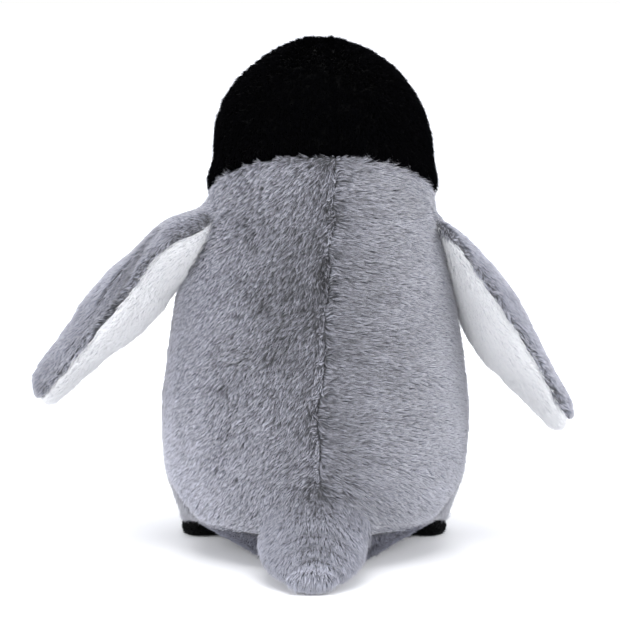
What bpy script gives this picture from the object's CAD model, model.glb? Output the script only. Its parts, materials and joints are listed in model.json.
# Plush penguin chick dressed for rendering: padded skins under a pile modelled lock by lock.
# Everything is in metres, in the frame of the CAD model: +Z up, the face along -Y, the tail along +Y.
import json
import math
from math import radians
import bpy
import numpy as np
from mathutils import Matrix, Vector
from mathutils.kdtree import KDTree


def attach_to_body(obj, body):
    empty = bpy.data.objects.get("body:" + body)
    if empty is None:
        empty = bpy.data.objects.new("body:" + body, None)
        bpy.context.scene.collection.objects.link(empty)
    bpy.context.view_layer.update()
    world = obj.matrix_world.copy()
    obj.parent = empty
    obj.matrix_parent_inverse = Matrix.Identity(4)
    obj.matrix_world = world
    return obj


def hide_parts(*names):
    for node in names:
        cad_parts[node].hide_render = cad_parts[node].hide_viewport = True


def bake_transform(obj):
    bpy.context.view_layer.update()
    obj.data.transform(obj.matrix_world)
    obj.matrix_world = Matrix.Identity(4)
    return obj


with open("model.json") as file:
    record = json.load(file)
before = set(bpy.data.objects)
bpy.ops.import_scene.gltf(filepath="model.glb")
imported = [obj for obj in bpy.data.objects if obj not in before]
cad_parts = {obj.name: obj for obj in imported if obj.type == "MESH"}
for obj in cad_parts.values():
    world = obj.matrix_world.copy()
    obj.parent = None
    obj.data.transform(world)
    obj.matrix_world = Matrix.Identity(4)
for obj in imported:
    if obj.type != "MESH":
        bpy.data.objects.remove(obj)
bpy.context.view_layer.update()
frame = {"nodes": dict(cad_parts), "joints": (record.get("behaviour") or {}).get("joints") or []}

MM = 0.001
rng = np.random.default_rng(28)
scene = bpy.context.scene
JOINTS = {joint["name"]: joint for joint in frame["joints"]}

# ---- small tools


def unit(vectors):
    """Rows scaled to length one."""
    return vectors / np.maximum(np.linalg.norm(vectors, axis=-1, keepdims=True), 1e-12)


def turn(axis, degrees):
    """3x3 rotation about a coordinate axis, 0 to 2."""
    c, s = math.cos(radians(degrees)), math.sin(radians(degrees))
    i, j = (axis + 1) % 3, (axis + 2) % 3
    matrix = np.eye(3)
    matrix[i, i] = matrix[j, j] = c
    matrix[j, i], matrix[i, j] = s, -s
    return matrix


def columns(*values):
    """Values side by side in a new last axis, each spread to the same shape."""
    return np.stack(np.broadcast_arrays(*values), axis=-1)


def smoothstep(low, high, values):
    """From 0 at low to 1 at high, which may be the smaller one, with level ends."""
    share = np.clip((values - low) / (high - low), 0, 1)
    return share * share * (3 - 2 * share)


def bell(distance, width):
    """One at distance zero, falling off over width."""
    return np.exp(-(distance / width) ** 2)


def noise(points, cell, seed=0):
    """Smooth noise from -1 to 1 at points (N, 3), from hashed corners of cells of one size."""
    q = points / cell + 31.7 * seed
    corner = np.floor(q).astype(np.int64)
    f = q - corner
    f = f * f * (3 - 2 * f)
    total = np.zeros(len(points))
    for steps in np.ndindex(2, 2, 2):
        k = corner + np.array(steps)
        mixed = (k[:, 0] * 73856093) ^ (k[:, 1] * 19349663) ^ (k[:, 2] * 83492791)
        mixed = (mixed ^ (mixed >> 13)) * 1274126177
        value = ((mixed ^ (mixed >> 16)) & 0xFFFF) / 32767.5 - 1
        weight = np.ones(len(points))
        for axis, step in enumerate(steps):
            weight *= f[:, axis] if step else 1 - f[:, axis]
        total += weight * value
    return total


def curve_through(stations, wanted):
    """Monotone cubic through rows of stations, whose first column is the parameter."""
    table = np.array(stations, float)
    x, y = table[:, 0], table[:, 1:]
    step = np.diff(x)[:, None]
    slope = np.diff(y, axis=0) / step
    tangent = np.zeros_like(y)
    same = slope[:-1] * slope[1:] > 0
    with np.errstate(divide="ignore", invalid="ignore"):
        harmonic = 2 * slope[:-1] * slope[1:] / (slope[:-1] + slope[1:])
    tangent[1:-1] = np.where(same, harmonic, 0)
    tangent[0], tangent[-1] = slope[0], slope[-1]
    i = np.clip(np.searchsorted(x, wanted) - 1, 0, len(x) - 2)
    width = (x[i + 1] - x[i])[:, None]
    f = ((wanted - x[i])[:, None]) / width
    return (y[i] * (1 + 2 * f) * (1 - f) ** 2 + tangent[i] * width * f * (1 - f) ** 2
            + y[i + 1] * f * f * (3 - 2 * f) + tangent[i + 1] * width * f * f * (f - 1))


def circle(count):
    """Angles around a ring, with their cosines and sines."""
    around = np.linspace(0, 2 * math.pi, count, endpoint=False)
    return around, np.cos(around), np.sin(around)


def stations(start, rounding, end, even, closing, last=1.5):
    """Places along a form: evenly spaced to where its end rounds off, then closer and closer together."""
    closer = np.sin(np.linspace(0.1, last, closing))
    return np.concatenate([np.linspace(start, rounding, even), rounding + (end - rounding) * closer])


def round_off(share):
    """How far a form has closed at a share of its rounded end: from 1 down to almost 0."""
    return np.sqrt(np.clip(1 - share ** 2, 0.001, 1))


def mesh_object(name, points, faces, smooth=True):
    mesh = bpy.data.meshes.new(name)
    mesh.from_pydata([tuple(p) for p in points], [], faces)
    mesh.validate()
    if smooth:
        mesh.polygons.foreach_set("use_smooth", np.ones(len(mesh.polygons), bool))
    thing = bpy.data.objects.new(name, mesh)
    scene.collection.objects.link(thing)
    return thing


def triples(items, what, kind=np.float32):
    """Three numbers of each item of a mesh, in rows."""
    values = np.empty(len(items) * 3, kind)
    items.foreach_get(what, values)
    return values.reshape(-1, 3)


def mesh_arrays(thing):
    """Vertices, vertex normals and triangles of an object's mesh, at its place."""
    mesh = thing.data
    mesh.calc_loop_triangles()
    points, normals = (triples(mesh.vertices, what).astype(float) for what in ("co", "normal"))
    return points, normals, triples(mesh.loop_triangles, "vertices", np.int32)


def outward_faces(thing):
    """Turn the faces outwards, so that normals and locks point away from the form."""
    points, _, triangles = mesh_arrays(thing)
    a, b, c = (points[triangles[:, k]] for k in range(3))
    if np.sum(a * np.cross(b, c)) < 0:
        thing.data.flip_normals()
        thing.data.update()


def closed_form(name, rings):
    """A closed skin through rings (M, N, 3), with a point at each end."""
    count, around = rings.shape[:2]
    points = np.vstack([rings.reshape(-1, 3), rings[0].mean(axis=0), rings[-1].mean(axis=0)])
    faces = []
    for row in range(count - 1):
        for k in range(around):
            a, b = row * around + k, row * around + (k + 1) % around
            faces.append((a, b, b + around, a + around))
    foot, crown = count * around, count * around + 1
    last = (count - 1) * around
    for k in range(around):
        faces.append((foot, (k + 1) % around, k))
        faces.append((crown, last + k, last + (k + 1) % around))
    skin = mesh_object(name, points, faces)
    outward_faces(skin)
    return skin


def set_points(thing, points):
    """Move a mesh's vertices."""
    thing.data.vertices.foreach_set("co", points.astype(np.float32).ravel())
    thing.data.update()
    outward_faces(thing)


# ---- materials


def set_inputs(tree, node, inputs):
    """Each input, by its name or number, gets a constant or a link from another node's socket."""
    for key, value in inputs.items():
        if isinstance(value, bpy.types.NodeSocket):
            tree.links.new(value, node.inputs[key])
        else:
            node.inputs[key].default_value = value


def add_node(tree, kind, inputs, **settings):
    """A new shader node with its settings and inputs."""
    node = tree.nodes.new("ShaderNode" + kind)
    for key, value in settings.items():
        setattr(node, key, value)
    set_inputs(tree, node, inputs)
    return node


def colour_ramp(tree, value, first, last, *between):
    """The colour that a ramp gives for a value; each stop is a position and a colour."""
    ramp = add_node(tree, "ValToRGB", {"Fac": value})
    stops = ramp.color_ramp.elements
    for stop, (position, colour) in zip(stops, (first, last)):
        stop.position, stop.color = position, (*colour, 1)
    for position, colour in between:
        stops.new(position).color = (*colour, 1)
    return ramp.outputs["Color"]


def principled(name, roughness, sheen=0.0, specular=0.5):
    """A material with its Principled shader; constant numbers sit on the shader's own sockets."""
    material = bpy.data.materials.new(name)
    material.use_nodes = True
    shader = material.node_tree.nodes["Principled BSDF"]
    set_inputs(material.node_tree, shader, {"Roughness": roughness, "Specular IOR Level": specular,
                                            "Sheen Weight": sheen, "Sheen Roughness": 0.45})
    return material, shader


MAP_EDGE = 0.02             # a lock's map runs from here at its root to 1 - MAP_EDGE at its tip


def pile_material(name, root, middle, tip, spread, sheen, specular=0.12):
    """Plush pile: colour runs from root to tip along a lock, and differs a little from lock to lock.
    Each lock's map holds its tone across and the distance from its root upwards."""
    material, shader = principled(name, 0.9, sheen, specular)
    tree = material.node_tree
    place = add_node(tree, "UVMap", {}, uv_map="OFBake")
    split = add_node(tree, "SeparateXYZ", {0: place.outputs["UV"]})
    colour = colour_ramp(tree, split.outputs["Y"], (MAP_EDGE, root), (1 - MAP_EDGE, tip), (0.45, middle))
    shade = add_node(tree, "MapRange", {"Value": split.outputs["X"], "To Min": 1 - spread,
                                        "To Max": 1 + spread})
    tint = add_node(tree, "VectorMath", {0: colour, "Scale": shade.outputs["Result"]}, operation="SCALE")
    set_inputs(tree, shader, {"Base Color": tint.outputs["Vector"]})
    return material


def backing_material(name, dark, light):
    """Knitted backing under the pile: mottled, with a fine bump."""
    material, shader = principled(name, 0.95, 0.1, 0.1)
    tree = material.node_tree
    at = add_node(tree, "TexCoord", {})
    spots = add_node(tree, "TexNoise", {"Scale": 420, "Detail": 3, "Vector": at.outputs["Object"]})
    bump = add_node(tree, "Bump", {"Strength": 0.5, "Distance": 0.4 * MM, "Height": spots.outputs["Fac"]})
    colour = colour_ramp(tree, spots.outputs["Fac"], (0.35, dark), (0.65, light))
    set_inputs(tree, shader, {"Base Color": colour, "Normal": bump.outputs["Normal"]})
    return material


GREY = (0.342, 0.341, 0.375)
DEEP_GREY = (0.320, 0.332, 0.395)       # the pile is bluer towards its roots


def shade_of(colour, factor):
    return tuple(channel * factor for channel in colour)


def grey_pile(name, root, middle, tip, spread):
    return pile_material(name, shade_of(DEEP_GREY, root), shade_of(DEEP_GREY, middle), shade_of(GREY, tip),
                         spread, 0.3)


PILES = {
    "grey_left": grey_pile("Grey_pile_left", 0.07, 0.58, 1.58, 0.95),
    "grey_right": grey_pile("Grey_pile_right", 0.09, 0.62, 1.34, 0.85),
    "grey_limb": grey_pile("Grey_pile_flippers", 0.12, 0.80, 1.62, 0.9),
    "grey_tail": grey_pile("Grey_pile_tail", 0.10, 0.72, 1.46, 0.9),
    "silver": pile_material("Silver_pile", (0.095, 0.096, 0.112), (0.335, 0.337, 0.375),
                            (0.595, 0.595, 0.645), 0.45, 0.3),
    "base": pile_material("Base_pile", (0.024, 0.024, 0.031), (0.125, 0.128, 0.158),
                          (0.25, 0.255, 0.31), 0.8, 0.1),
    "white": pile_material("White_pile", (0.72, 0.735, 0.78), (0.885, 0.89, 0.91),
                           (0.935, 0.938, 0.95), 0.05, 0.15),
    "black": pile_material("Black_pile", (0.0003, 0.0003, 0.0004), (0.0006, 0.0006, 0.0009),
                           (0.0013, 0.0013, 0.0019), 0.5, 0.0, 0.02),
    "felt": pile_material("Black_short_pile", (0.001, 0.001, 0.0013), (0.003, 0.003, 0.0035),
                          (0.006, 0.006, 0.007), 0.4, 0.0, 0.05),
}
BACKINGS = {
    "grey": backing_material("Grey_backing", shade_of(GREY, 0.30), shade_of(GREY, 0.5)),
    "white": backing_material("White_backing", (0.6, 0.6, 0.64), (0.7, 0.7, 0.74)),
    "black": backing_material("Black_backing", (0.0004, 0.0004, 0.0005), (0.0009, 0.0009, 0.0011)),
}

# ---- growing a pile on a skin

LOCK_SIDES = 3
UPRIGHT_SHARE = 0.45                    # share of a lock below its bend
STEEPER, FLATTER = 1.25, 0.75           # of its lift angle, below and above the bend
FOOT_WIDE, BEND_WIDE = 1.1, 0.8         # of its width
LOCK_THICK = 0.6                        # of its width, across the skin
SUNK = 0.7 * MM                         # how far its foot lies below the skin
FLOOR_GAP = 0.15 * MM                   # between the floor and any lock
DENSITY = 3.15                          # locks in a square millimetre
MAX_LOCKS = 19500                       # in one piece, which keeps its mesh under 200,000 triangles
# Clumps of each pile: how far apart, how firmly their tips close, the way and share they are drawn out,
# and how much their tones differ.
CLUMPS = {
    "grey_left": (0.85 * MM, 0.45, (0.54, 0, -0.84), 0.5, 0.20),
    "grey_right": (0.9 * MM, 0.32, (1, 0, 0), 0.4, 0.10),
    "grey_limb": (1.2 * MM, 0.4, (0, 0, 1), 0.5, 0.11),
    "grey_tail": (1.1 * MM, 0.5, (0, 0.8, -0.6), 0.35, 0.11),
    "silver": (1.4 * MM, 0.35, (0, 0, 1), 0.5, 0.1),
    "base": (1.5 * MM, 0.4, (1, 0, 0), 1, 0.11),
    "white": (1.6 * MM, 0.12, (0, 0, 1), 0.4, 0.05),
    "black": (1.6 * MM, 0.4, (0, 0, 1), 0.6, 0.11),
    "felt": (1.4 * MM, 0.3, (0, 0, 1), 1, 0.11),
}


def lock_lines(root, normal, flow, length, lift):
    """Foot, bend and tip of each lock: it leaves the skin at its lift angle and bends down along flow."""
    lift = lift[:, None]
    length = length[:, None]
    first = np.cos(lift * STEEPER) * flow + np.sin(lift * STEEPER) * normal
    second = np.cos(lift * FLATTER) * flow + np.sin(lift * FLATTER) * normal
    bend = root + UPRIGHT_SHARE * length * first
    return root - SUNK * normal, bend, bend + (1 - UPRIGHT_SHARE) * length * second


def leaders(place, spacing, way, share):
    """For each root, the root that its clump closes on. Clumps are spacing apart, and longer along way."""
    way = unit(np.array(way, float))
    squeezed = place - (1 - share) * (place @ way)[:, None] * way
    count = max(1, int(len(place) * share / (DENSITY * (spacing / MM) ** 2)))
    chosen = rng.permutation(len(place))[:count]
    tree = KDTree(count)
    for number, point in enumerate(squeezed[chosen].tolist()):
        tree.insert(point, number)
    tree.balance()
    return chosen[[tree.find(point)[1] for point in squeezed.tolist()]]


def lock_mesh(name, lines, normal, width, tone, material):
    """One mesh of closed tapered locks along their lines, each with its tone in its map."""
    foot, bend, tip = lines
    count = len(foot)
    along_tip = unit(tip - bend)
    side = unit(np.cross(along_tip, normal))
    back = np.cross(side, along_tip)
    vertices = np.empty((count, 2 * LOCK_SIDES + 1, 3))
    for k in range(LOCK_SIDES):
        angle = 2 * math.pi * k / LOCK_SIDES + math.pi / 2
        arm = (math.cos(angle) * side + LOCK_THICK * math.sin(angle) * back) * width[:, None] / 2
        vertices[:, k] = foot + FOOT_WIDE * arm
        vertices[:, LOCK_SIDES + k] = bend + BEND_WIDE * arm
    vertices[:, -1] = tip
    vertices[..., 2] = np.maximum(vertices[..., 2], FLOOR_GAP)

    pattern = [(2, 1, 0)]
    for k in range(LOCK_SIDES):
        nxt = (k + 1) % LOCK_SIDES
        pattern.append((k, nxt, LOCK_SIDES + nxt, LOCK_SIDES + k))
        pattern.append((LOCK_SIDES + k, LOCK_SIDES + nxt, 2 * LOCK_SIDES))
    sizes = np.array([len(face) for face in pattern])
    corners = np.array([corner for face in pattern for corner in face])
    along = np.array([0.0] * LOCK_SIDES + [UPRIGHT_SHARE] * LOCK_SIDES + [1.0])
    per_lock = 2 * LOCK_SIDES + 1
    loops = (corners[None, :] + per_lock * np.arange(count)[:, None]).ravel()

    mesh = bpy.data.meshes.new(name)
    mesh.vertices.add(count * per_lock)
    mesh.vertices.foreach_set("co", vertices.astype(np.float32).ravel())
    mesh.loops.add(len(loops))
    mesh.loops.foreach_set("vertex_index", loops.astype(np.int32))
    mesh.polygons.add(count * len(pattern))
    starts = np.concatenate([[0], np.cumsum(np.tile(sizes, count))[:-1]])
    mesh.polygons.foreach_set("loop_start", starts.astype(np.int32))
    mesh.polygons.foreach_set("use_smooth", np.ones(count * len(pattern), bool))
    layer = mesh.uv_layers.new(name="OFBake")
    uv = np.empty((count, len(corners), 2), np.float32)
    uv[:, :, 0] = np.clip(tone, 0.01, 0.99)[:, None]
    uv[:, :, 1] = MAP_EDGE + (1 - 2 * MAP_EDGE) * along[corners][None, :]
    layer.data.foreach_set("uv", uv.ravel())
    mesh.update(calc_edges=True)
    mesh.materials.append(material)
    thing = bpy.data.objects.new(name, mesh)
    scene.collection.objects.link(thing)
    return thing


def roots_on(skin, density, only=None):
    """Random places on a skin, evenly spread: points and normals. only(points) keeps some triangles."""
    points, normals, triangles = mesh_arrays(skin)
    a, b, c = (points[triangles[:, k]] for k in range(3))
    area = np.linalg.norm(np.cross(b - a, c - a), axis=1) / 2
    wanted = area * density / MM ** 2
    if only is not None:
        wanted = np.where(only((a + b + c) / 3), wanted, 0)
    number = np.floor(wanted + rng.random(len(wanted))).astype(int)
    chosen = np.repeat(np.arange(len(triangles)), number)
    r1 = np.sqrt(rng.random(len(chosen)))[:, None]
    r2 = rng.random(len(chosen))[:, None]
    corners = triangles[chosen]
    weights = (1 - r1, r1 * (1 - r2), r1 * r2)
    place = sum(w * points[corners[:, k]] for k, w in enumerate(weights))
    normal = unit(sum(w * normals[corners[:, k]] for k, w in enumerate(weights)))
    return place, normal


def mostly_light(count):
    """Random numbers about zero with a long tail on the dark side, as pile has between its tufts."""
    return 1.04 - 1.3 * np.abs(rng.normal(0, 1, count))


def calm(points):
    """The pile lies more evenly towards the sides, on the flippers and near the floor: 0 to 1."""
    return np.maximum(smoothstep(36 * MM, 72 * MM, np.abs(points[:, 0])),
                      0.9 * smoothstep(80 * MM, 40 * MM, points[:, 2]))


def grow(name, place, normal, comb, attach, material):
    """Grow locks at places, as their comb lays them. Long piles are cut into pieces."""
    lie = comb(place, normal)
    foot, bend, tip = lock_lines(place, normal, lie.laid(lie.flow), lie.length, lie.lift)
    spacing, strength, way, share, contrast = CLUMPS[material]
    leader = leaders(place, spacing, way, share)
    firm = 1 + smoothstep(radians(42), radians(62), lie.lift)       # pile standing up splits into tufts
    even = 1 - 0.5 * calm(place)
    strength = strength * (0.4 + 0.6 * even)
    hold = np.minimum(strength * firm * np.clip(rng.normal(1, 0.3, len(place)), 0, 1.4), 0.95)[:, None]
    bend = bend + 0.4 * hold * (bend[leader] - bend)
    tip = tip + hold * (tip[leader] - tip)
    tone = lie.tone + even * contrast * mostly_light(len(place))[leader]
    order = np.argsort(place[:, 2], kind="stable")
    parts = max(1, math.ceil(len(order) / MAX_LOCKS))
    for number, part in enumerate(np.array_split(order, parts)):
        title = name if parts == 1 else "%s_%d" % (name, number + 1)
        attach(lock_mesh(title, (foot[part], bend[part], tip[part]), normal[part], lie.width[part],
                         tone[part], PILES[material]))
    print("pile %-26s %6d locks" % (name, len(order)))


# ---- body and head form

HEAD_ASIDE = -3 * MM
HEAD_TURN = 8
PILE_DEPTH = 3.0 * MM       # how far the backing lies below the tips of the pile
LIMB_PILE_DEPTH = 2.5 * MM  # the same on the flippers

# height, half-width, half-depth, offset along X, offset along Y, in mm; the first row is the hem behind
BODY_SECTIONS = [
    (19, 74.6, 64.2, 0, -0.4), (28.5, 77.6, 66.5, 0, -1), (47, 83.2, 69.5, 0, -2),
    (75, 85.2, 70.5, 0.2, -3), (105, 82.2, 68.5, 0.3, -3), (131.5, 77.8, 66, 0.3, -2),
    (158, 72, 62.5, 0, -1), (180, 66, 60, -1, 0), (190, 62.6, 59, -2.4, 0),
    (200, 61.8, 58.5, -3.2, 0), (216, 60.3, 57.5, -3.6, 0),
]
DOME_RISE = 65              # of the head above the last section, in mm
HEM_UP = 19 * MM
SOLE_ROUND = 9.5            # radius of the underside's edge at the sides and in front, in mm
UNDERSIDE_UP = 10.5 * MM    # where the coat ends there
RING_POINTS, LIMB_RING_POINTS = 220, 120


def footprint(c, s):
    """The outline that rests on the floor: round in front, running straight to the tail behind."""
    behind = s > 0
    x = 56 * np.where(behind, c * np.abs(c), c)
    y = -22 + np.where(behind, np.minimum(126 * s * s, 84), 30 * s)
    return columns(x, y) * MM


def gusset_share(points):
    """One behind, where the undercut gusset shows; zero at the sides and in front, over the feet."""
    return smoothstep(2 * MM, 20 * MM, points[:, 1])


def hem_height(points):
    """Where the gusset's fabric ends: at the hem behind, on the rounded underside elsewhere."""
    rear = gusset_share(points)
    return rear * HEM_UP + (1 - rear) * UNDERSIDE_UP


def body_rings():
    """Rings of the outer form: the base, the undercut band up to the hem, the sides and the dome."""
    _, c, s = circle(RING_POINTS)

    def level(row):
        up, wide, deep, aside, aft = np.array(row) * MM
        return columns(aside + wide * c, aft + deep * s, up)

    hem = level(BODY_SECTIONS[0])
    foot = footprint(c, s)
    rings = []
    middle = np.array([0, -10 * MM])
    for share in np.linspace(0.05, 0.95, 12):
        rings.append(columns(*(middle + share * (foot - middle)).T, 0))
    rear = gusset_share(hem)[:, None]
    for up in np.linspace(0, HEM_UP, 30)[:-1]:
        rounded = math.sqrt(1 - (1 - min(max((up / MM - SOLE_ROUND) / SOLE_ROUND, 0), 1)) ** 2)
        out = rear * (up / HEM_UP) ** 1.1 + (1 - rear) * rounded
        flat = foot + out * (hem[:, :2] - foot)
        rings.append(columns(*flat.T, up))
    top, wide, deep, aside, aft = BODY_SECTIONS[-1]
    heights = np.linspace(HEM_UP / MM, top, 106)
    rings += [level((up, *values)) for up, values in zip(heights, curve_through(BODY_SECTIONS, heights))]
    for angle in np.linspace(0, math.pi / 2, 42)[1:-1]:
        shrink = math.cos(angle) ** 1.1
        rings.append(level((top + DOME_RISE * math.sin(angle), wide * shrink, deep * shrink, aside, aft)))
    return np.array(rings)


# Seams of the body, as signed distances.
RIM_NORMAL = turn(2, -2) @ turn(0, 23) @ np.array([0, 0, 1.0])
RIM_POINT = np.array([HEAD_ASIDE, 0, 196.5 * MM])
SIDE_SEAM, SIDE_SEAM_LOW = 4 * MM, 34 * MM      # how far aft, above and at the hem
PATCH_RADIUS = 28 * MM
PATCH_ASIDE, PATCH_UP = 25 * MM, 215 * MM       # middle of a face patch, in the head's frame


def above_rim(points):
    """Distance above the sloping plane in which the cap is sewn to the coat."""
    return (points - RIM_POINT) @ RIM_NORMAL


def left_of_back_seam(points):
    """Distance along +X from the centre back seam, which leans and wanders a little."""
    seam = -2 * MM - (points[:, 2] - 80 * MM) * math.tan(radians(3.7))
    level = points * np.array([0, 0, 1])
    wander = 1.3 * MM * noise(level, 17 * MM, 3) + 1.2 * MM * noise(level, 6 * MM, 4)
    return points[:, 0] - seam - wander


def behind_side_seam(points):
    """Distance aft of the side seam, which runs down under the flipper and then aft to the gusset."""
    low = smoothstep(52 * MM, 18 * MM, points[:, 2])
    return points[:, 1] - SIDE_SEAM - (SIDE_SEAM_LOW - SIDE_SEAM) * low ** 1.3


def in_head(points):
    """Points in the head's own frame, which is turned a little about the vertical."""
    return (points - np.array([HEAD_ASIDE, 0, 0])) @ turn(2, HEAD_TURN)


def in_gusset(points):
    """The short-piled fabric of the base: up to the hem behind, only underneath elsewhere."""
    return points[:, 2] < hem_height(points)


def outside_patch(points):
    """Distance outside the white face patches, negative inside."""
    q = in_head(points)
    apart = np.hypot(np.abs(q[:, 0]) - PATCH_ASIDE, q[:, 2] - PATCH_UP)
    return np.where(q[:, 1] < 0, apart, 1) - PATCH_RADIUS


def away_from_patch(points):
    """The way outwards from the middle of the nearer face patch."""
    q = in_head(points)
    out = columns(q[:, 0] - PATCH_ASIDE * np.sign(q[:, 0]), 0, q[:, 2] - PATCH_UP)
    return unit(out) @ turn(2, HEAD_TURN).T


def seam_pull(points):
    """How strongly a seam pulls the skin in at each point, 0 to 1."""
    rim, hem = above_rim(points), points[:, 2] - hem_height(points)
    coat = smoothstep(2 * MM, -2 * MM, rim) * smoothstep(-1 * MM, 1 * MM, hem)
    behind = smoothstep(5 * MM, 15 * MM, points[:, 1])
    rough = 0.5 + 0.4 * noise(points, 6 * MM, 5)
    back = 0.45 * bell(left_of_back_seam(points), 1.8 * MM) * coat * behind * rough
    side = bell(behind_side_seam(points), 2.0 * MM) * coat * 0.7
    rim_pull = bell(rim, 2.2 * MM)
    hem_pull = bell(hem, 2.4 * MM)
    crown = bell(in_head(points)[:, 0], 1.8 * MM) * smoothstep(0, 4 * MM, rim) * 0.5
    patch = bell(outside_patch(points), 1.6 * MM) * 0.6
    return np.maximum.reduce([back, side, rim_pull, hem_pull, crown, patch])


# ---- flippers

# distance from the hinge, how far the outer and the inner face stand from its axis, half-chord, in mm
FLIPPER_SECTIONS = {
    "left": [
        (-14, -2, 13, 14), (-9, 1.5, 15, 21), (-3, 5, 16.6, 26.5), (3.5, 8.2, 18, 28.7),
        (10, 10.6, 19.2, 29.5), (17, 12.2, 19.8, 29.5), (27, 13.6, 19.8, 29.5), (35, 14, 19.4, 30.5),
        (48, 15.8, 20.8, 31), (61, 16.4, 20.6, 31), (74, 15.7, 18.6, 30), (87, 13.6, 16, 28),
        (100, 12, 13.9, 25), (113, 11.2, 12.6, 21), (120, 9.6, 11.4, 17), (125, 7.5, 9.5, 13.5),
    ],
    "right": [
        (-12, -4.5, 8, 11), (-7, -2.5, 10, 17), (0, -0.4, 10, 23), (6.5, 2, 10, 26), (16, 5.6, 11.5, 28),
        (22.5, 7.4, 13, 29), (29, 8.8, 15, 29.5), (42, 10.8, 18.2, 31), (55, 11.3, 20.8, 31),
        (68, 11, 22.6, 31), (81, 8.8, 22.6, 29.5), (94, 6.8, 19.6, 27), (107, 6, 17.2, 23.5),
        (120, 5.6, 14.4, 17.5), (125, 4.4, 12.4, 14.5),
    ],
}
# in mm
FLIPPER_ROOT = {"left": -14, "right": -12}
AFT_AT_ROOT = {"left": 5, "right": 2}           # the flippers are sewn on a little behind their own middle
PANEL_SEAM = {"left": -3.4, "right": -4.4}      # the seam between the panels, outwards of the axis
TIP_STARTS = {"left": 118, "right": 121}
TIP_LONG = {"left": 11.5, "right": 12.5}
TIP_LOBE = {"left": 3, "right": 5.5}
# the way outwards along X, then how far the flipper stands off and how far it is twisted, in degrees
FLIPPER_POSE = {"left": (1, 41.6, 5), "right": (-1, 34, 12)}


def flipper_place(side):
    """Rotation and origin of a flipper's own frame, where it hangs along -Z, its outer face to +X."""
    sign, droop, twist = FLIPPER_POSE[side]
    rotation = turn(1, -sign * droop) @ turn(2, -sign * twist) @ np.diag([sign, 1, 1])
    return rotation, np.array(JOINTS["flipper_%s_flap" % side]["pos_m"])


def flipper_section(side, reach):
    """Outer face, inner face and half-chord at distances from the hinge; the seam's place comes last."""
    start, long = TIP_STARTS[side], TIP_LONG[side]
    outer, inner, chord = curve_through(FLIPPER_SECTIONS[side], np.clip(reach, FLIPPER_ROOT[side], start)).T
    seam = PANEL_SEAM[side] - 3.2 * smoothstep(24, -10, reach)
    if side == "left":
        # the white face is wider below the shoulder, and pointed above it
        seam = seam + 3 * bell(reach - 28, 16) - 3.6 * smoothstep(12, -4, reach)
    closing = round_off((np.maximum(reach, start) - start) / long)
    return outer * closing, inner * closing, chord * closing ** 0.8, seam * closing


def fold_share(around, reach, width=0.2):
    """The left flipper's fold beside its rear seam, from near the shoulder to the middle: 0 to 1."""
    return bell(around - np.radians(53 + 0.6 * (reach - 30)), width) * bell(reach - 46, 27)


def flipper_rings(side):
    """Rings of a flipper's form in its own frame, from inside the body to the tip."""
    tip = TIP_STARTS[side]
    reach = stations(FLIPPER_ROOT[side], tip, tip + TIP_LONG[side], 84, 12, last=1.52)
    outer, inner, chord, seam = (column[:, None] for column in flipper_section(side, reach))
    reach = reach[:, None]
    around, c, s = circle(LIMB_RING_POINTS)
    bulge = np.sign(c) * np.abs(c) ** 0.85
    x = np.where(c > 0, seam + (outer - seam) * bulge, seam + (inner + seam) * bulge)
    y = chord * s + AFT_AT_ROOT[side] * smoothstep(34, 4, reach)
    if side == "left":
        # the fold, and the roll that stands beside it
        depth = 6.5 * fold_share(around, reach) - 1.5 * fold_share(around - 0.45, reach, 0.28)
        x -= 0.3 * depth * c
        y -= depth * s
    # at the tip the white face's lobe reaches a little further than the grey one's
    lobe = np.where(x < seam, 1, -0.4) * smoothstep(0, 8, np.abs(x - seam)) * smoothstep(88, 122, reach)
    z = -reach - TIP_LOBE[side] * lobe
    return columns(x, y, z) * MM


def flipper_skin(side):
    """The backing of a flipper: its form less the pile's depth, drawn in at the seam and uneven."""
    rotation, origin = flipper_place(side)
    skin = closed_form("flipper_%s_skin" % side, flipper_rings(side))
    local, normal, _ = mesh_arrays(skin)
    rough = 0.6 + 0.4 * noise(local, 7 * MM, 11)
    seam = bell(flipper_seam(local, side), 2.4 * MM) * rough
    inset = LIMB_PILE_DEPTH + 1.5 * MM * seam
    inset = inset - 0.7 * MM * noise(local, 20 * MM, 8) - 0.4 * MM * noise(local, 8 * MM, 9)
    local = local - normal * inset[:, None]
    set_points(skin, local @ rotation.T + origin)
    return skin


def flipper_seam(local, side):
    """Signed distance, outwards, from the seam between the grey and the white panel."""
    return local[:, 0] - flipper_section(side, -local[:, 2] / MM)[3] * MM


def to_flipper(points, side):
    rotation, origin = flipper_place(side)
    return (points - origin) @ rotation


SKINS = {side: flipper_skin(side) for side in FLIPPER_POSE}

# ---- tail

# distance aft, half-width, half-height, height of the centre, in mm
TAIL_SECTIONS = [
    (56, 33, 33, 28), (58, 31.5, 28.5, 25.5), (60, 30.8, 25, 23.8), (62, 30.4, 22.3, 22.5),
    (66, 30.8, 19.3, 20.2), (75, 30.4, 16.8, 17.4), (86, 28.6, 13.4, 13.8), (92, 26.2, 11.8, 12),
    (97.5, 23, 10.2, 10.4), (103, 18, 8.4, 8.6), (107, 13.4, 7, 7.2),
]
TAIL_START, TAIL_ROUND, TAIL_END = 56, 105, 113     # inside the body, where the end rounds off, and the end
TAIL_ASIDE = 1.6                                    # the tail stands a little towards +X


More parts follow.
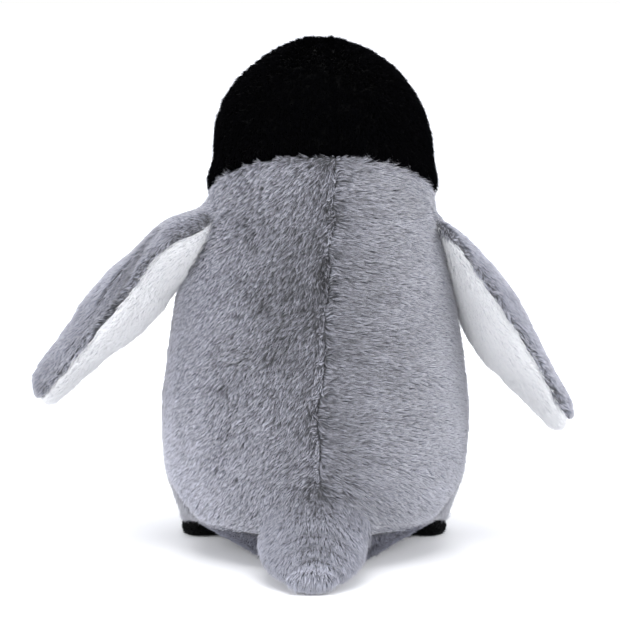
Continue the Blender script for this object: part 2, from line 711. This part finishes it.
def tail_rings():
    """Rings of the tail's form, wide and low, creased on top and rounding off at the end."""
    aft = stations(TAIL_START, TAIL_ROUND, TAIL_END, 74, 12)
    inner = curve_through(TAIL_SECTIONS, np.minimum(aft, TAIL_ROUND))
    share = np.clip((aft - TAIL_ROUND) / (TAIL_END - TAIL_ROUND), 0, 1)
    closing = round_off(share)
    wide, high, up = inner[:, 0] * closing ** 0.8, inner[:, 1] * closing ** 0.6, inner[:, 2] - 2 * share
    _, c, s = circle(LIMB_RING_POINTS)
    x = wide[:, None] * np.sign(c) * np.abs(c) ** 0.9 + TAIL_ASIDE * smoothstep(58, 76, aft)[:, None]
    z = up[:, None] + high[:, None] * s
    y = aft[:, None]
    z -= 2.6 * tail_crease(x, y) * np.clip(s, 0, 1)
    return columns(x, y, z) * MM


def tail_crease(x, y):
    """Creases that arch over the top of the tail, deepest in front of its fanned end; x and y in mm."""
    crease = 0 * x
    for place, bow, depth, width, reach in ((97, 0.030, 0.8, 1.5, 15), (90, 0.014, 0.5, 1.3, 19),
                                            (82, 0.010, 0.45, 1.3, 21)):
        crease = crease + depth * bell(y - place - bow * x * x, width) * bell(x, reach)
    return crease


def tail_skin():
    skin = closed_form("tail_skin", tail_rings())
    place, normal, _ = mesh_arrays(skin)
    inset = PILE_DEPTH - 0.4 * MM * noise(place, 12 * MM, 21)
    inset += 0.7 * MM * np.abs(normal[:, 0]) * smoothstep(60 * MM, 80 * MM, place[:, 1])
    place = place - normal * inset[:, None]
    set_points(skin, place)
    return skin


tail = tail_skin()

# ---- body skin


def ellipse_distance(x, y, half_x, half_y):
    """About how far points lie outside an ellipse about the origin, negative inside."""
    form = np.maximum(np.hypot(x / half_x, y / half_y), 1e-6)
    return (form - 1) * form / np.maximum(np.hypot(x / half_x ** 2, y / half_y ** 2), 1e-6)


FAR = 99                    # a distance in mm that is past every effect


def outside_flipper(points, side):
    """Distance in mm outside a flipper's root, negative inside it, and the place across it."""
    local = to_flipper(points, side) / MM
    outer, inner, chord, seam = flipper_section(side, -local[:, 2])
    x = local[:, 0] - seam
    backing = LIMB_PILE_DEPTH / MM
    thick = np.where(x > 0, outer - seam, inner + seam) - backing
    away = ellipse_distance(x, local[:, 1] - AFT_AT_ROOT[side], thick, chord - backing)
    return np.where(np.abs(local[:, 2]) < 20, away, FAR), x


def shoulder(points, side, width):
    """One where the body meets the upper, outer face of a flipper, fading over a width in mm."""
    away, x = outside_flipper(points, side)
    return bell(away, width) * smoothstep(-1, 5, x)


def outside_limbs(points):
    """Distance outside the roots of the flippers and the tail, negative inside them."""
    local = points / MM
    half_wide, half_high, up = curve_through(TAIL_SECTIONS, np.clip(local[:, 1], 60, 80)).T
    nearest = ellipse_distance(local[:, 0], local[:, 2] - up, half_wide - 3, half_high - 3)
    nearest = np.where(local[:, 1] > 45, nearest, FAR)
    for side in FLIPPER_POSE:
        nearest = np.minimum(nearest, outside_flipper(points, side)[0])
    return nearest * MM


def body_skin():
    """The backing of body and head: the form less the pile's depth, drawn in at the seams."""
    skin = closed_form("body_skin", body_rings())
    place, normal, _ = mesh_arrays(skin)
    inset = PILE_DEPTH + 2.4 * MM * seam_pull(place)
    inset -= 0.9 * MM * noise(place, 34 * MM, 1) + 0.35 * MM * noise(place, 13 * MM, 2)
    rim = above_rim(place)
    inset -= 1.3 * MM * bell(rim - 5 * MM, 6 * MM)          # the cap swells over the rim
    inset -= 1.6 * MM * bell(outside_limbs(place), 4.5 * MM)  # the skin rises to the flippers and the tail
    for side in FLIPPER_POSE:
        inset -= 1.8 * MM * shoulder(place, side, 3)
    place = place - normal * inset[:, None]
    place[:, 2] = np.maximum(place[:, 2], 0.5 * MM)
    set_points(skin, place)
    return skin


body = body_skin()

# ---- feet and beak

# centre along X and Y, half-width, half-length, half-height, in mm, in the foot's own frame
FOOT_LOBES = [
    (1.5, 0, 28, 27.5, 11.5), (19.5, 10, 13, 17, 10), (5, 10, 14, 17, 10), (-17, -22, 11, 16, 10.5),
    (0.5, -26, 11.5, 17, 11), (16.5, -21, 10.5, 16, 10.5),
]
FOOT_PLACE = {"left": np.array([46, -47, 0]) * MM, "right": np.array([-44.5, -47, 0]) * MM}
TOE_OUT = 8


def join_lobes(name, lobes, voxel):
    """One closed form from ellipsoids given as (centre, half-axes), in metres."""
    bpy.ops.mesh.primitive_uv_sphere_add(segments=48, ring_count=24, radius=1)
    ball = bpy.context.object
    points, _, _ = mesh_arrays(ball)
    points = np.sign(points) * np.abs(points) ** 0.6
    polygons = [tuple(face.vertices) for face in ball.data.polygons]
    bpy.data.objects.remove(ball)
    every, faces = [], []
    for number, (centre, axes) in enumerate(lobes):
        every.append(points * np.array(axes) + np.array(centre))
        faces += [tuple(v + number * len(points) for v in face) for face in polygons]
    rough = mesh_object(name + "_rough", np.vstack(every), faces)
    remesh = rough.modifiers.new("Remesh", "REMESH")
    remesh.mode, remesh.voxel_size = "VOXEL", voxel
    smooth = rough.modifiers.new("Smooth", "SMOOTH")
    smooth.iterations = 10
    evaluated = rough.evaluated_get(bpy.context.evaluated_depsgraph_get())
    mesh = bpy.data.meshes.new_from_object(evaluated)
    bpy.data.objects.remove(rough)
    mesh.name = name
    mesh.polygons.foreach_set("use_smooth", np.ones(len(mesh.polygons), bool))
    thing = bpy.data.objects.new(name, mesh)
    scene.collection.objects.link(thing)
    return thing


def foot_skin(side):
    """A foot's lobes joined and turned out; the lobes are written for the left one and mirrored."""
    sign = 1 if side == "left" else -1
    swing = turn(2, sign * TOE_OUT)
    lobes = [(np.array([x, y, 0]) * MM, np.array([wide, long, high]) * MM - 2.2 * MM)
             for x, y, wide, long, high in FOOT_LOBES]
    foot = join_lobes("foot_%s_skin" % side, lobes, 1.4 * MM)
    points, _, _ = mesh_arrays(foot)
    points = (points * np.array([sign, 1, 1])) @ swing.T + FOOT_PLACE[side]
    points[:, 2] = np.maximum(points[:, 2], 0.8 * MM)
    set_points(foot, points)
    return foot


BEAK_PLACE = np.array([0, -50, 209]) * MM
BEAK_LONG, BEAK_ROUND = 27, 19      # its reach from there, and where its tip starts to close, in mm
BEAK_DROOP = 8


def beak_skin():
    """A blunt cone along -Y in the head's frame, with a mouth line drawn in around it."""
    reach = stations(-6, BEAK_ROUND, BEAK_LONG, 26, 10)
    share = np.clip(reach / BEAK_LONG, 0, 1)
    wide = 10 * (1 - share ** 1.6) ** 0.62 * 0.96
    high = 8 * (1 - share ** 1.7) ** 0.6 * 0.96
    _, c, s = circle(64)
    mouth = 1 - 0.13 * bell(s, 0.16) * np.minimum(1, share[:, None] * 6)
    x = wide[:, None] * c * mouth
    z = high[:, None] * s * mouth
    local = columns(x, -reach[:, None], z) * MM
    swing = turn(2, HEAD_TURN) @ turn(0, BEAK_DROOP)
    place = turn(2, HEAD_TURN) @ BEAK_PLACE + np.array([HEAD_ASIDE, 0, 0])
    return closed_form("beak_skin", local @ swing.T + place)


feet = {side: foot_skin(side) for side in ("left", "right")}
beak = beak_skin()


# ---- how each region's pile lies

WHORL = np.array([-2.5, 66, 43]) * MM       # where the centre seam meets the tail


def turned(flow, normal, angle):
    """Directions turned within the skin, by an angle in radians for each."""
    return np.cos(angle)[:, None] * flow + np.sin(angle)[:, None] * np.cross(normal, flow)


def towards(flow, other, share):
    """Directions a share of the way from one flow to another."""
    return unit(flow * (1 - share)[:, None] + other * share[:, None])


class Lie:
    """How the locks at some roots lie: the way they run, their length, lift, width and tone."""

    def __init__(self, place, normal, direction):
        self.place, self.normal = place, normal
        self.flow = self.laid(direction)

    def laid(self, direction):
        """A direction laid into the skin's tangent planes."""
        direction = np.broadcast_to(np.asarray(direction, float), self.normal.shape)
        return unit(direction - self.normal * np.sum(direction * self.normal, axis=1, keepdims=True))

    def turn(self, angle):
        """Turn each lock within the skin, by an angle in radians."""
        self.flow = turned(self.flow, self.normal, angle)

    def scatter(self, amount):
        """Turn each lock at random, by about amount radians."""
        self.turn(rng.normal(0, 1, len(self.flow)) * amount)

    def lead(self, direction, share):
        """Turn each lock a share of the way to a direction."""
        self.flow = towards(self.flow, self.laid(direction), share)

    def draw(self, long, uneven, lift, lift_spread, narrow, broad):
        """Draw lengths, lifts and widths, in mm and degrees."""
        count = len(self.place)
        self.length = (long + uneven * rng.normal(0, 1, count)) * MM
        self.lift = radians(lift) + radians(lift_spread) * rng.normal(0, 1, count)
        self.width = (narrow + (broad - narrow) * rng.random(count)) * MM

    def streaks(self, across, along, seed):
        """Noise drawn out along the lie of the pile, -1 to 1."""
        side = unit(np.cross(self.flow, self.normal))
        beside, ahead = np.sum(self.place * side, axis=1), np.sum(self.place * self.flow, axis=1)
        return noise(columns(beside / across, ahead / along, 0), 1.0, seed)

    def mottle(self, seed, streak, grain, patchy, along=4 * MM):
        """Draw tones, 0 to 1: streaked along the pile, patchy, and different from lock to lock."""
        tone = streak * self.streaks(0.7 * MM, along, seed)
        tone += patchy * noise(self.place, 16 * MM, seed + 1) + grain * mostly_light(len(self.place))
        self.tone = 0.5 + (1 - 0.5 * calm(self.place)) * tone

    def ruffle(self, seam, reach, gaps):
        """Within reach of a seam the pile stands up, tufts cross the seam and small dark gaps open."""
        near = bell(seam, reach)
        broken = smoothstep(-0.35, 0.25, noise(self.place, 8 * MM, 40))
        ticks = self.streaks(0.8 * MM, 3 * MM, 35)
        gap = smoothstep(-0.1, 0.2, ticks) * broken * bell(seam, 1.5 * reach)
        self.turn(1.6 * near * noise(self.place, 3.2 * MM, 37))
        self.length = self.length * (1 - 0.2 * gap)
        self.lift = self.lift + near * (radians(68) - self.lift)
        self.tone = self.tone + 0.12 * near - gaps * gap

    def whorl(self):
        """Above the tail the pile turns about a whorl and opens in short dark gaps."""
        offset = self.place - WHORL
        near = 0.75 * bell(np.linalg.norm(offset * np.array([0.7, 1, 0.8]), axis=1), 12 * MM)
        spread = unit(self.laid(unit(offset + 1e-6)) + self.laid((0, 0.3, -1)))
        twist = turned(spread, self.normal, 1.3 * noise(self.place, 2.6 * MM, 38))
        self.flow = towards(self.flow, twist, near)
        gap = smoothstep(-0.05, 0.25, self.streaks(0.8 * MM, 3 * MM, 39)) * near
        self.lift = self.lift + 0.3 * near
        self.tone = self.tone + 0.10 * near - 0.85 * gap

    def meet_rim(self):
        """Just below the cap's rim the grey pile stands up, and its tips lie over the black."""
        near = smoothstep(-3.2 * MM, -0.5 * MM, above_rim(self.place))
        near = near * smoothstep(-0.6, 0.4, noise(self.place, 1.8 * MM, 34))
        self.lead((0, 0, 1), 0.55 * near)
        self.lift = self.lift + 0.15 * near

    def meet_flippers(self):
        """Above a flipper's root the body's pile turns and flows out along the flipper."""
        for side in FLIPPER_POSE:
            out = flipper_place(side)[0] @ np.array([0, 0, -1.0])
            self.lead(out, 0.85 * shoulder(self.place, side, 7))

    def meet_hem(self):
        """Beside the hem locks are cropped and lie along it, so that they don't hang over what is below."""
        near = smoothstep(9 * MM, 1 * MM, self.place[:, 2] - hem_height(self.place))
        self.lead(unit(self.flow * np.array([1, 1, 0.15])), near)
        self.length = self.length * (1 - 0.42 * near)

    def meet_edges(self):
        """The coat beside the rim, the flippers and the hem."""
        self.meet_rim()
        self.meet_flippers()
        self.meet_hem()


def comb_left(place, normal):
    """Left back panel: the pile hangs down and away from the centre seam, rough and mottled beside it."""
    seam = left_of_back_seam(place)
    ruffled = bell(seam, 36 * MM) * smoothstep(-0.5, 0.6, noise(place, 24 * MM, 30))
    lie = Lie(place, normal, unit(np.array([0.58, 0, -0.82])))
    lie.turn((0.25 + 0.4 * ruffled) * noise(place, 16 * MM, 31)
             + (0.12 + 0.2 * ruffled) * noise(place, 6 * MM, 32))
    lie.scatter(0.22)
    lie.draw(4.5, 0.7, 38, 9, 0.28, 0.48)
    lie.mottle(33, 0.26, 0.22, 0.10, 2.6 * MM)
    lie.tone -= ((0.10 + 0.14 * smoothstep(45 * MM, 110 * MM, place[:, 2])) * ruffled
                 + 0.03 * bell(seam, 40 * MM))
    lie.tone += (0.23 * smoothstep(34 * MM, 76 * MM, place[:, 0])
                 + 0.25 * smoothstep(95 * MM, 35 * MM, place[:, 2]))
    lie.ruffle(seam, 3.2 * MM, 0.95)
    away, across = outside_flipper(place, "left")
    below = smoothstep(6 * MM, -6 * MM, to_flipper(place, "left")[:, 2])
    lie.tone -= 0.45 * bell(away - 1, 4) * smoothstep(2, -4, across) * below        # shaded by the flipper
    lie.whorl()
    lie.meet_edges()
    return lie


def comb_right(place, normal):
    """Right back panel: the pile sweeps sideways from the centre seam in long flat waves."""
    seam = -left_of_back_seam(place)
    fall = 0.12 + 0.45 * smoothstep(75 * MM, 25 * MM, place[:, 2])
    lie = Lie(place, normal, unit(columns(-1, 0, -fall)))
    lie.turn(0.20 * noise(place * np.array([0.5, 0.5, 1.3]), 15 * MM, 41) + 0.10 * noise(place, 5 * MM, 42))
    lie.scatter(0.12)
    lie.draw(6.2, 0.7, 23, 6, 0.28, 0.48)
    lie.mottle(43, 0.20, 0.10, 0.06, 4.5 * MM)
    lie.tone -= 0.03 + 0.08 * bell(seam, 20 * MM) + 0.05 * bell(place[:, 2] - 118 * MM, 34 * MM)
    lie.tone += (0.21 * smoothstep(30 * MM, 76 * MM, -place[:, 0])
                 + 0.12 * smoothstep(80 * MM, 35 * MM, place[:, 2]))
    lie.ruffle(seam, 1.5 * MM, 0.5)
    lie.whorl()
    lie.meet_edges()
    return lie


def comb_belly(place, normal):
    """Belly: the pile hangs down and parts towards both sides."""
    lie = Lie(place, normal, unit(columns(0.9 * place[:, 0] / (70 * MM), 0.4, -1)))
    lie.turn(0.25 * noise(place, 18 * MM, 51))
    lie.scatter(0.2)
    lie.draw(6.0, 0.7, 27, 7, 0.34, 0.58)
    lie.meet_edges()
    lie.mottle(53, 0.2, 0.14, 0.12)
    return lie


def comb_base(place, normal):
    """Base: short pile brushed outwards, flat on the underside and lighter in the middle."""
    lie = Lie(place, normal, unit(columns(place[:, 0], place[:, 1], -20 * MM)))
    lie.scatter(0.35)
    lie.draw(3.4, 0.5, 30, 8, 0.34, 0.58)
    lie.lift = np.where(place[:, 2] < 4 * MM, radians(12), lie.lift)
    lie.mottle(63, 0.2, 0.2, 0.1)
    lie.tone += 0.10 * smoothstep(54 * MM, 38 * MM, np.abs(place[:, 0]))
    return lie


def comb_cap(place, normal):
    """Cap: the pile falls backwards, runs along the rim and turns away from the face patches."""
    lie = Lie(place, normal, turn(2, HEAD_TURN) @ np.array([0, 0.5, -1.0]))
    lie.turn(0.3 * noise(place, 14 * MM, 71))
    lie.scatter(0.3)
    near = smoothstep(6 * MM, 1 * MM, above_rim(place))
    lie.lead(np.cross(RIM_NORMAL, normal), near)
    beside = smoothstep(7 * MM, 1 * MM, outside_patch(place))
    lie.lead(away_from_patch(place), 0.8 * beside)
    lie.draw(5.2, 0.7, 36, 9, 0.5, 0.8)
    lie.length = lie.length * (1 - 0.45 * np.maximum(near, beside))
    lie.mottle(73, 0.2, 0.2, 0.1)
    return lie


def comb_patch(place, normal):
    """White cheeks: the pile fans outwards from beside the beak."""
    q = in_head(place)
    outward = columns(q[:, 0], 0, q[:, 2] - 205 * MM - 0.15 * np.abs(q[:, 0]))
    lie = Lie(place, normal, unit(outward) @ turn(2, HEAD_TURN).T)
    lie.scatter(0.14)
    lie.draw(4.4, 0.5, 20, 6, 0.38, 0.62)
    lie.mottle(83, 0.15, 0.14, 0.1)
    return lie


def comb_flipper(side, white):
    """The comb of a flipper's inner panel, which is white, or of its grey outer one."""
    rotation, _ = flipper_place(side)

    def comb(place, normal):
        local = to_flipper(place, side)
        seam = flipper_seam(local, side)
        direction = columns(0, 0.35 * local[:, 1] / (30 * MM), -1)
        if white:
            # the white pile closes over the edge of the seam
            direction[:, 1] += 0.5 * np.sign(local[:, 1]) * bell(seam, 7 * MM)
        lie = Lie(place, normal, unit(direction) @ rotation.T)
        lie.turn(0.25 * noise(place, 15 * MM, 91))
        lie.scatter(0.2)
        lie.draw(5.6, 0.7, 19 if white else 26, 6, 0.36, 0.60)
        near = bell(seam, 4 * MM)
        lie.length = lie.length * (1 - 0.15 * near)
        lie.lift = lie.lift + 0.15 * near
        lie.mottle(93, 0.20, 0.12, 0.08)
        if not white:
            beside = seam - 1 * MM
            lie.ruffle(beside, 1.6 * MM, 0.5)
            lie.tone += 0.05 * smoothstep(2 * MM, 28 * MM, -local[:, 2]) - 0.12 * bell(beside, 1 * MM)
            if side == "left":
                reach = -local[:, 2] / MM
                half_chord = flipper_section(side, reach)[2] - LIMB_PILE_DEPTH / MM
                across = (local[:, 1] / MM - AFT_AT_ROOT[side]) / half_chord
                lie.tone -= 0.05 + 0.34 * fold_share(np.arcsin(np.clip(across, -1, 1)) + 0.28, reach)
        # the root closes smoothly on the body
        lie.length = lie.length * (1 - 0.25 * smoothstep(8 * MM, -4 * MM, -local[:, 2]))
        return lie
    return comb


def comb_tail(place, normal):
    """The pile runs down from the whorl over the tail, fans out to its sides and hangs over its end."""
    fan = 0.55 + 0.35 * smoothstep(10 * MM, 50 * MM, place[:, 1] - 50 * MM)
    lie = Lie(place, normal, unit(columns(fan * place[:, 0] / (28 * MM), 1, -0.5)))
    end = smoothstep(102 * MM, 110 * MM, place[:, 1])
    lie.lead((0, 0.2, -1), end)
    lie.turn(0.25 * noise(place, 10 * MM, 101))
    lie.scatter(0.14)
    lie.draw(6.6, 0.7, 17, 5, 0.30, 0.50)
    lie.length = lie.length * (1 - 0.15 * end)
    lie.lift = np.where(place[:, 2] < 5 * MM, np.minimum(lie.lift, radians(14)), lie.lift)
    lie.mottle(103, 0.24, 0.14, 0.08)
    lie.tone += 0.06 + 0.10 * smoothstep(66 * MM, 80 * MM, place[:, 1])
    lie.tone += 0.14 * smoothstep(88 * MM, 108 * MM, place[:, 1])
    lie.tone -= 0.5 * tail_crease(place[:, 0] / MM, place[:, 1] / MM) * (normal[:, 2] > 0)
    lie.whorl()
    return lie


def comb_short(place, normal):
    """Short pile of the feet and the beak, brushed forwards."""
    lie = Lie(place, normal, (0, -1, -0.3))
    lie.scatter(0.5)
    lie.draw(2.4, 0.3, 38, 9, 0.5, 0.7)
    lie.lift = np.where(place[:, 2] < 2.5 * MM, radians(8), lie.lift)
    lie.mottle(113, 0.1, 0.2, 0.1)
    return lie


# ---- dressing the body


BASE_BARE, SOLE_BARE = 1.2 * MM, 1.0 * MM       # no pile grows this close to the floor


def beside_back_seam(points):
    return (np.abs(left_of_back_seam(points)) < 2.5 * MM) & (points[:, 1] > 0) & (above_rim(points) < 0)


def ride_on(body_name):
    return lambda piece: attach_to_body(piece, body_name)


def dress_skin(skin, attach, slot_name, depth, *replaced):
    """A padded skin: what it moves with, its fabric, its padding and the solids it stands for."""
    attach(skin)
    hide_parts(*replaced)


place, normal = roots_on(body, DENSITY)
more_place, more_normal = roots_on(body, DENSITY, beside_back_seam)
place, normal = np.vstack([place, more_place]), np.vstack([normal, more_normal])
keep = outside_limbs(place) > -2 * MM
for side in FLIPPER_POSE:
    away, across = outside_flipper(place, side)
    keep |= (np.abs(away) < 7) & (across < 0)       # a raised flipper shows more of the body below it
place, normal = place[keep], normal[keep]
rim = above_rim(place)
base = in_gusset(place)
coat = (rim < 0) & ~base
behind = behind_side_seam(place) > 0
left = left_of_back_seam(place) > 0
patch = (rim >= 0) & (outside_patch(place) < 0)
underneath = place[:, 2] < BASE_BARE
# piece, where it grows, comb, fabric slot, material, and the share of its locks that is kept
REGIONS = [
    ("fur_back_left", coat & behind & left, comb_left, "grey_plush", "grey_left", 1),
    ("fur_back_right", coat & behind & ~left, comb_right, "grey_plush", "grey_right", 1),
    ("fur_belly", coat & ~behind, comb_belly, "belly_plush", "silver", 0.75),
    ("fur_base", base & ~underneath, comb_base, "base_plush", "base", 0.75),
    ("fur_cap", (rim >= 0) & ~patch, comb_cap, "black_plush", "black", 0.6),
    ("fur_face", patch, comb_patch, "white_plush", "white", 0.8),
]
for name, chosen, comb, slot_name, material, kept in REGIONS:
    chosen = chosen & (rng.random(len(chosen)) < kept)
    grow(name, place[chosen], normal[chosen], comb, ride_on("body"), material)


def colour_regions(thing, choose, materials):
    """Give each face of a skin one of several backings; choose(centres) gives an index per face."""
    for material in materials:
        thing.data.materials.append(material)
    polygons = thing.data.polygons
    chosen = choose(triples(polygons, "center").astype(float))
    polygons.foreach_set("material_index", chosen.astype(np.int32))


def body_backing(centres):
    rim = above_rim(centres)
    return np.where(rim < 0, 0, np.where(outside_patch(centres) < 0, 1, 2))


colour_regions(body, body_backing, [BACKINGS["grey"], BACKINGS["white"], BACKINGS["black"]])
dress_skin(body, ride_on("body"), "grey_plush", 0.85, "back_panel_left", "back_panel_right", "belly_panel",
           "base_gusset", "head_cap_left", "head_cap_right", "face_patch_left", "face_patch_right",
           "body_stuffing", "pellet_pouch", "pellets", "closing_thread", "eye_washer_left",
           "eye_washer_right")

# ---- dressing the flippers, tail, feet and beak


LIMB_DENSITY, FOOT_DENSITY, BEAK_DENSITY = 0.85 * DENSITY, 1.6, 2.2


def bend_at_shoulder(side):
    rotation, origin = flipper_place(side)
    return lambda piece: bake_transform(piece)


for side, skin in SKINS.items():
    bend = bend_at_shoulder(side)
    place, normal = roots_on(skin, LIMB_DENSITY)
    local = to_flipper(place, side)
    keep = -local[:, 2] > (FLIPPER_ROOT[side] + 0.5) * MM
    place, normal, local = place[keep], normal[keep], local[keep]
    grey = flipper_seam(local, side) + 0.8 * MM * noise(local, 5 * MM, 15) > 0
    grow("fur_flipper_%s_outer" % side, place[grey], normal[grey], comb_flipper(side, False), bend,
         "grey_limb")
    grow("fur_flipper_%s_inner" % side, place[~grey], normal[~grey], comb_flipper(side, True), bend,
         "white")
    colour_regions(skin, lambda centres: (flipper_seam(to_flipper(centres, side), side) < 0).astype(int),
                   [BACKINGS["grey"], BACKINGS["white"]])
    dress_skin(skin, bend, "grey_plush", 0.6,
               *("flipper_%s_%s" % (side, part) for part in ("outer", "inner", "stuffing")))


TAIL_BARE = 58.5 * MM       # the tail's skin is inside the body up to here


def bend_at_tail(piece):
    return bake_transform(piece)


place, normal = roots_on(tail, DENSITY)
keep = place[:, 1] > TAIL_BARE
grow("fur_tail", place[keep], normal[keep], comb_tail, bend_at_tail, "grey_tail")
tail.data.materials.append(BACKINGS["grey"])
dress_skin(tail, bend_at_tail, "grey_plush", 0.6, "tail_upper", "tail_lower", "tail_stuffing")

for side, foot in feet.items():
    place, normal = roots_on(foot, FOOT_DENSITY)
    keep = place[:, 2] > SOLE_BARE
    grow("fur_foot_" + side, place[keep], normal[keep], comb_short, ride_on("body"), "felt")
    foot.data.materials.append(BACKINGS["black"])
    dress_skin(foot, ride_on("body"), "black_felt", 0.7,
               *("foot_%s_%s" % (side, part) for part in ("upper", "sole", "stuffing")))

place, normal = roots_on(beak, BEAK_DENSITY)
grow("fur_beak", place, normal, comb_short, ride_on("body"), "felt")
beak.data.materials.append(BACKINGS["black"])
dress_skin(beak, ride_on("body"), "black_felt", 0.7, "beak_upper", "beak_lower", "beak_stuffing")

# ---- eyes

gloss, gloss_shader = principled("Black_eye_plastic", 0.08, 0, 0.07)
set_inputs(gloss.node_tree, gloss_shader, {"Base Color": (0.002, 0.002, 0.002, 1)})
for side in ("left", "right"):
    eye = frame["nodes"]["eye_" + side]
    eye.data.materials.clear()
    eye.data.materials.append(gloss)

# ---- camera, floor and light

CAMERA_AT = (0.003, 1.300, 0.310)
CAMERA_PITCH = 7.82
camera_data = bpy.data.cameras.new("Camera")
camera_data.lens = 139.35
camera_data.sensor_width = 36
camera = bpy.data.objects.new("Camera", camera_data)
camera.location = CAMERA_AT
camera.rotation_euler = (radians(90 - CAMERA_PITCH), 0, radians(180))
scene.collection.objects.link(camera)
scene.camera = camera
scene.view_settings.view_transform = "Standard"


def seen_directly(tree):
    """One where a ray comes from the camera or from a mirror or glass, else zero."""
    ray = add_node(tree, "LightPath", {}).outputs
    seen = ray["Is Camera Ray"]
    for kind in ("Is Glossy Ray", "Is Transmission Ray"):
        seen = add_node(tree, "Math", {0: seen, 1: ray[kind]}, operation="MAXIMUM").outputs[0]
    return seen


world = bpy.data.worlds.new("Studio")
scene.world = world
world.use_nodes = True
tree = world.node_tree
backdrop = tree.nodes["Background"]
set_inputs(tree, backdrop, {"Color": (1, 1, 1, 1), "Strength": 1})
ambient = add_node(tree, "Background", {"Color": (0.88, 0.915, 1, 1), "Strength": 0.66})
choice = add_node(tree, "MixShader", {0: seen_directly(tree), 1: ambient.outputs[0],
                                      2: backdrop.outputs[0]})
set_inputs(tree, tree.nodes["World Output"], {"Surface": choice.outputs[0]})

HALF_FLOOR = 30
corners = [(-HALF_FLOOR, -HALF_FLOOR, 0), (HALF_FLOOR, -HALF_FLOOR, 0),
           (HALF_FLOOR, HALF_FLOOR, 0), (-HALF_FLOOR, HALF_FLOOR, 0)]
floor = mesh_object("Floor", corners, [(0, 1, 2, 3)], False)
floor_material, floor_shader = principled("Floor_white", 0.9, 0, 0.1)
tree = floor_material.node_tree
set_inputs(tree, floor_shader, {"Base Color": (0.77, 0.77, 0.78, 1)})
# the floor is plain near the penguin, where its shadow falls, and fades to the white backdrop
spot = add_node(tree, "TexCoord", {})
away = add_node(tree, "VectorMath", {0: spot.outputs["Object"]}, operation="LENGTH")
fade = add_node(tree, "MapRange", {"Value": away.outputs["Value"], "From Min": 0.10, "From Max": 0.42,
                                   "To Min": 0.04, "To Max": 1.0}, interpolation_type="SMOOTHSTEP")
direct = add_node(tree, "Math", {0: fade.outputs["Result"], 1: seen_directly(tree)}, operation="MULTIPLY")
glow = add_node(tree, "Emission", {"Color": (0.94, 0.95, 1, 1), "Strength": direct.outputs[0]})
both = add_node(tree, "AddShader", {0: floor_shader.outputs[0], 1: glow.outputs[0]})
set_inputs(tree, tree.nodes["Material Output"], {"Surface": both.outputs[0]})
floor.data.materials.append(floor_material)


CENTRE = Vector((0, 0, 0.14))


def softbox(name, at, size, watts):
    """A round lamp that looks at the middle of the penguin."""
    data = bpy.data.lights.new(name, "AREA")
    data.shape = "DISK"
    data.size = size
    data.energy = watts
    lamp = bpy.data.objects.new(name, data)
    lamp.location = at
    lamp.rotation_euler = (CENTRE - Vector(at)).to_track_quat("-Z", "Y").to_euler()
    scene.collection.objects.link(lamp)


softbox("Top", (0.0, 0.4, 1.9), 1.6, 25)
softbox("Key", (-0.9, 1.7, 0.9), 1.2, 20)
softbox("Fill", (0.9, 1.8, 0.7), 1.2, 15)
softbox("Side_left", (1.5, 0.1, 0.6), 0.9, 15)
softbox("Side_right", (-1.5, 0.1, 0.6), 0.9, 15)
softbox("Front", (0.3, -1.7, 1.1), 1.2, 12)
